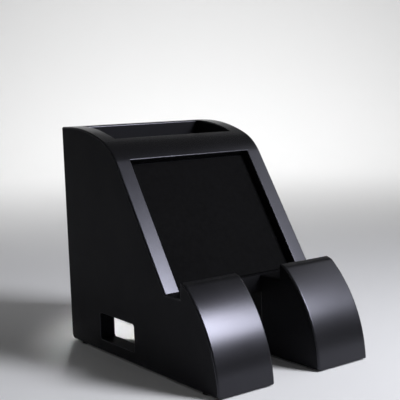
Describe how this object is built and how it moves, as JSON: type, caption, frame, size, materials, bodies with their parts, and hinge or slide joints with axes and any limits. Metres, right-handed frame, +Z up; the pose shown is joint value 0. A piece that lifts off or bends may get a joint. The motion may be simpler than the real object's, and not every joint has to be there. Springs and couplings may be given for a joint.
{
  "type": "pencil cup",
  "caption": "Black painted wooden pencil cup with a leaning phone rest, curved cradle arms and cable openings.",
  "frame": {"origin": "on the table, under the middle of the body's width and depth", "axes": "+X to the right seen from the front, +Y to the rear, +Z up; the cradle arms face -Y"},
  "size_m": [0.096, 0.14, 0.1228],
  "materials": {
    "painted_board": "satin black lacquer on fibreboard",
    "liner": "dull black felt sheet",
    "rubber": "matte black rubber",
    "beech": "bare beech"
  },
  "bodies": {
    "root": {"left_side_panel": "painted_board", "right_side_panel": "painted_board", "back_panel": "painted_board", "cup_floor": "painted_board", "top_rail": "painted_board", "rest_panel": "painted_board", "recess_liner": "liner", "left_cradle_block": "painted_board", "right_cradle_block": "painted_board", "front_left_foot": "rubber", "front_right_foot": "rubber", "rear_left_foot": "rubber", "rear_right_foot": "rubber", "back_panel_dowels": "beech", "cup_floor_dowels": "beech", "rest_panel_dowels": "beech", "top_rail_dowels": "beech", "cradle_dowels": "beech", "cradle_floor_dowels": "beech", "back_floor_dowels": "beech"}
  },
  "joints": []
}
